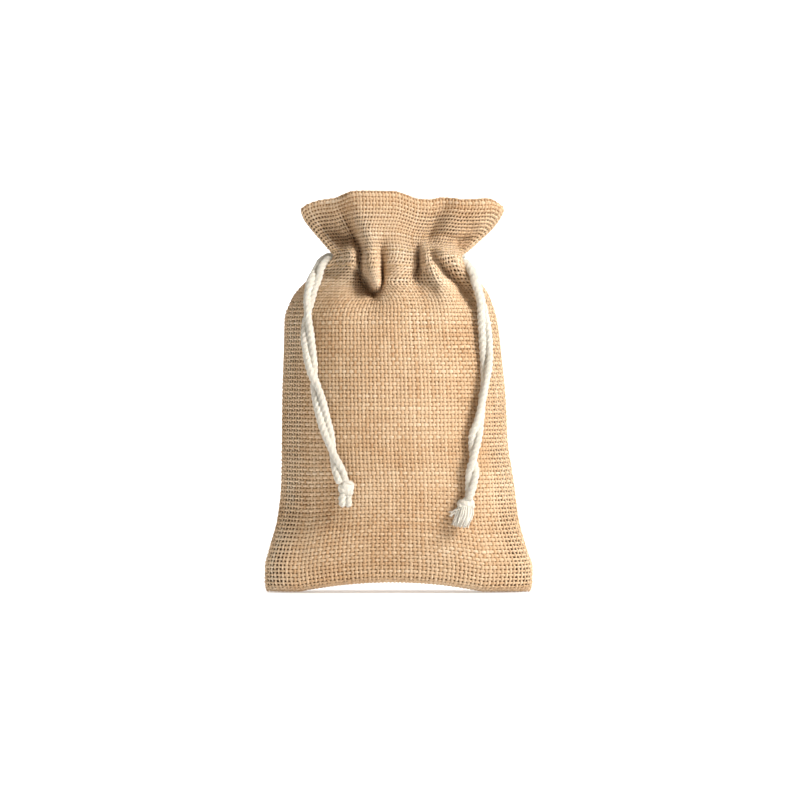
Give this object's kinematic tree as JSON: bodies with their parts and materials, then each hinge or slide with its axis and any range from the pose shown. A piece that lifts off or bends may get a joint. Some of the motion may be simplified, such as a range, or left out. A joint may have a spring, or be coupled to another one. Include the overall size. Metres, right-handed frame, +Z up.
{
  "type": "drawstring gift pouch",
  "caption": "Standing woven jute pouch with a gathered neck, a ruffled header and two knotted cotton drawcords that close it.",
  "frame": {"origin": "on the surface the pouch stands on, below the middle of its box", "axes": "+Z up, +X to the right and +Y to the back, with the front of the pouch facing -Y"},
  "size_m": [0.1342, 0.0623, 0.2],
  "materials": {
    "jute_cloth": "plain-woven natural jute, open weave",
    "cotton_cord": "soft twisted unbleached cotton",
    "sewing_thread": "spun sewing thread"
  },
  "bodies": {
    "pouch": {"front_panel": "jute_cloth", "back_panel": "jute_cloth", "left_seam_allowance": "jute_cloth", "right_seam_allowance": "jute_cloth", "bottom_seam_allowance": "jute_cloth", "left_seam_overlock": "sewing_thread", "right_seam_overlock": "sewing_thread", "bottom_seam_overlock": "sewing_thread", "front_casing": "jute_cloth", "back_casing": "jute_cloth", "front_casing_stitches": "sewing_thread", "back_casing_stitches": "sewing_thread", "left_opening_bartacks": "sewing_thread", "right_opening_bartacks": "sewing_thread", "left_cord_loop": "cotton_cord", "right_cord_loop": "cotton_cord"},
    "front_lip": {"front_ruffle": "jute_cloth"},
    "back_lip": {"back_ruffle": "jute_cloth"},
    "left_pull": {"left_cord_runs": "cotton_cord"},
    "left_tails": {"left_front_tail": "cotton_cord", "left_back_tail": "cotton_cord", "left_knot": "cotton_cord", "left_cut_ends": "cotton_cord"},
    "right_pull": {"right_cord_runs": "cotton_cord"},
    "right_tails": {"right_front_tail": "cotton_cord", "right_back_tail": "cotton_cord", "right_knot": "cotton_cord", "right_tassel": "cotton_cord"}
  },
  "joints": [
    {"name": "front_lip_fold", "type": "hinge", "parent": "pouch", "child": "front_lip", "pos_m": [0, -0.0106, 0.1724], "axis": [1, 0, 0], "range_deg": [0, 35]},
    {"name": "back_lip_fold", "type": "hinge", "parent": "pouch", "child": "back_lip", "pos_m": [0, 0.0106, 0.1724], "axis": [-1, 0, 0], "range_deg": [0, 35]},
    {"name": "left_cord_pull", "type": "slide", "parent": "pouch", "child": "left_pull", "axis": [-1, 0, 0], "range_m": [0, 0.03]},
    {"name": "left_tail_swing", "type": "hinge", "parent": "left_pull", "child": "left_tails", "pos_m": [-0.0356, 0, 0.1683], "axis": [0, 1, 0], "range_deg": [0, 60]},
    {"name": "right_cord_pull", "type": "slide", "parent": "pouch", "child": "right_pull", "axis": [1, 0, 0], "range_m": [0, 0.03]},
    {"name": "right_tail_swing", "type": "hinge", "parent": "right_pull", "child": "right_tails", "pos_m": [0.0356, 0, 0.1647], "axis": [0, -1, 0], "range_deg": [0, 60]}
  ]
}
